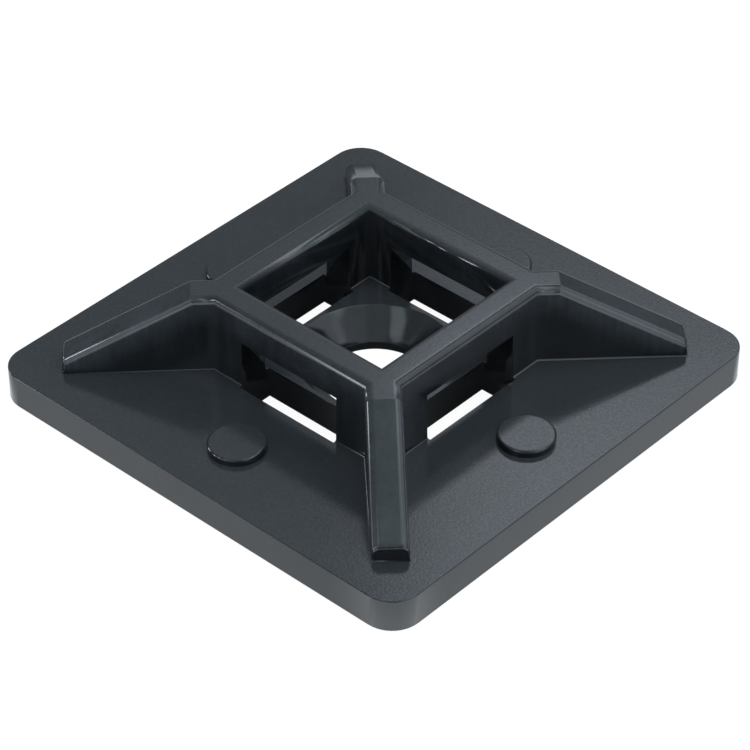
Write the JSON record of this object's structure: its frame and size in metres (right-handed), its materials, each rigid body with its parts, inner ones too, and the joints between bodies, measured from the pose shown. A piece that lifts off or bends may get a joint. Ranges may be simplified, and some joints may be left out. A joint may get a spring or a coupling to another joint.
{
  "type": "cable tie mount",
  "caption": "Square screw-fixed plate with a raised windowed tower that a cable tie threads through from any side, braced by sloping corner ribs.",
  "frame": {"origin": "middle of the plate's underside, on the axis of the screw hole", "axes": "+Z out of the face that carries the tower, along the screw hole; +X and +Y along the plate's edges"},
  "size_m": [0.028, 0.028, 0.0065],
  "materials": {
    "black_nylon": "satin moulded charcoal-black nylon"
  },
  "bodies": {
    "root": {"tie_mount": "black_nylon"}
  },
  "joints": []
}
